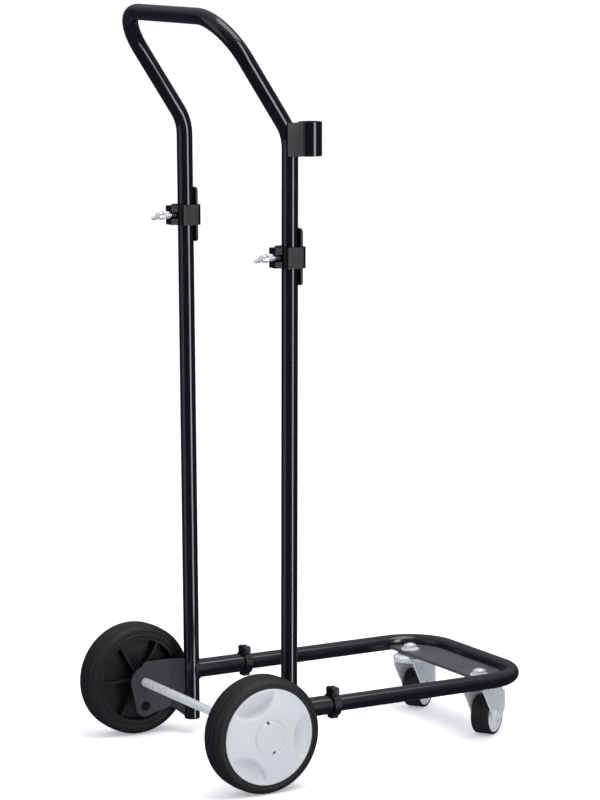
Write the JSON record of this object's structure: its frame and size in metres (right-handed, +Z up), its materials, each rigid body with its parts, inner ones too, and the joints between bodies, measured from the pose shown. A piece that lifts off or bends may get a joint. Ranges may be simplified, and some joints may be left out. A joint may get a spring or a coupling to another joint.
{
  "type": "push cart",
  "caption": "Tubular push cart: bent handle frame on an axle with plain wheels, plug-in U platform on swivel castors, sliding clamps on the uprights and a tube holder.",
  "frame": {"origin": "on the floor, under the middle of the cart's length and width", "axes": "+X across the cart to the side with the tube holder, +Y forward to the platform, +Z up"},
  "size_m": [0.482, 0.6226, 1.1755],
  "materials": {
    "black_gloss": "gloss black powder coat",
    "black_satin": "satin black powder coat",
    "grey_satin": "satin dark grey powder coat",
    "zinc": "bright zinc plate",
    "chrome": "bright plated casting",
    "black_plastic": "moulded black nylon",
    "hub_plastic": "moulded black hub",
    "cap_plastic": "light silver-grey moulding",
    "castor_plastic": "off-white moulding",
    "nylon": "natural nylon",
    "tyre": "moulded black rubber",
    "castor_rubber": "black rubber"
  },
  "bodies": {
    "frame": {"handle_frame": "black_gloss", "tube_holder": "black_gloss", "axle": "zinc", "foot_plug_left": "black_plastic", "sleeve_left": "black_gloss", "sleeve_clamp_left": "black_plastic", "sleeve_bolt_left": "black_satin", "axle_bracket_left": "black_satin", "axle_washer_left": "zinc", "push_nut_left": "zinc", "foot_plug_right": "black_plastic", "sleeve_right": "black_gloss", "sleeve_clamp_right": "black_plastic", "sleeve_bolt_right": "black_satin", "axle_bracket_right": "black_satin", "axle_washer_right": "zinc", "push_nut_right": "zinc"},
    "platform": {"platform_rail": "black_gloss", "platform_plate": "grey_satin", "castor_stem_left": "zinc", "stem_washer_left": "zinc", "stem_nut_left": "zinc", "castor_stem_right": "zinc", "stem_washer_right": "zinc", "stem_nut_right": "zinc"},
    "rear_wheel_left": {"rear_tyre_left": "tyre", "wheel_hub_left": "hub_plastic", "wheel_bush_left": "nylon", "hub_cap_left": "cap_plastic"},
    "castor_swivel_left": {"castor_fork_left": "zinc", "castor_bolt_left": "zinc"},
    "castor_roller_left": {"castor_tyre_left": "castor_rubber", "castor_wheel_left": "castor_plastic"},
    "clamp_left": {"upright_clamp_left": "black_plastic", "backing_strip_left": "black_plastic"},
    "pad_left": {"pressure_pad_left": "zinc"},
    "screw_left": {"wing_screw_left": "chrome"},
    "rear_wheel_right": {"rear_tyre_right": "tyre", "wheel_hub_right": "hub_plastic", "wheel_bush_right": "nylon", "hub_cap_right": "cap_plastic"},
    "castor_swivel_right": {"castor_fork_right": "zinc", "castor_bolt_right": "zinc"},
    "castor_roller_right": {"castor_tyre_right": "castor_rubber", "castor_wheel_right": "castor_plastic"},
    "clamp_right": {"upright_clamp_right": "black_plastic", "backing_strip_right": "black_plastic"},
    "pad_right": {"pressure_pad_right": "zinc"},
    "screw_right": {"wing_screw_right": "chrome"}
  },
  "joints": [
    {"name": "platform_slide", "type": "slide", "parent": "frame", "child": "platform", "axis": [0, 1, 0], "range_m": [0, 0.04]},
    {"name": "rear_wheel_spin_left", "type": "hinge", "parent": "frame", "child": "rear_wheel_left", "pos_m": [-0.18746, -0.22125, 0.09], "axis": [1, 0, 0], "continuous": true},
    {"name": "castor_turn_left", "type": "hinge", "parent": "platform", "child": "castor_swivel_left", "pos_m": [-0.105, 0.23775, 0.087], "axis": [0, 0, 1], "continuous": true},
    {"name": "castor_roll_left", "type": "hinge", "parent": "castor_swivel_left", "child": "castor_roller_left", "pos_m": [-0.12188, 0.26375, 0.032], "axis": [0.8387, 0.5446, 0], "continuous": true},
    {"name": "clamp_slide_left", "type": "slide", "parent": "frame", "child": "clamp_left", "axis": [-0.0104, 0, 0.9999], "range_m": [-0.65, 0.075]},
    {"name": "pad_travel_left", "type": "slide", "parent": "clamp_left", "child": "pad_left", "axis": [0, -1, 0], "range_m": [0, 0.0025]},
    {"name": "screw_turn_left", "type": "hinge", "parent": "pad_left", "child": "screw_left", "pos_m": [-0.16596, -0.14375, 0.84], "axis": [0, -1, 0], "range_deg": [0, 720]},
    {"name": "rear_wheel_spin_right", "type": "hinge", "parent": "frame", "child": "rear_wheel_right", "pos_m": [0.18746, -0.22125, 0.09], "axis": [1, 0, 0], "continuous": true},
    {"name": "castor_turn_right", "type": "hinge", "parent": "platform", "child": "castor_swivel_right", "pos_m": [0.105, 0.23775, 0.087], "axis": [0, 0, 1], "continuous": true},
    {"name": "castor_roll_right", "type": "hinge", "parent": "castor_swivel_right", "child": "castor_roller_right", "pos_m": [0.08812, 0.26375, 0.032], "axis": [0.8387, 0.5446, 0], "continuous": true},
    {"name": "clamp_slide_right", "type": "slide", "parent": "frame", "child": "clamp_right", "axis": [0.0104, 0, 0.9999], "range_m": [-0.62, 0.1]},
    {"name": "pad_travel_right", "type": "slide", "parent": "clamp_right", "child": "pad_right", "axis": [0, -1, 0], "range_m": [0, 0.0025]},
    {"name": "screw_turn_right", "type": "hinge", "parent": "pad_right", "child": "screw_right", "pos_m": [0.16559, -0.14375, 0.804], "axis": [0, -1, 0], "range_deg": [0, 720]}
  ],
  "couplings": [
    {"joint": "screw_turn_left", "follows": "pad_travel_left", "rad_per_m": 5026.5},
    {"joint": "screw_turn_right", "follows": "pad_travel_right", "rad_per_m": 5026.5}
  ]
}
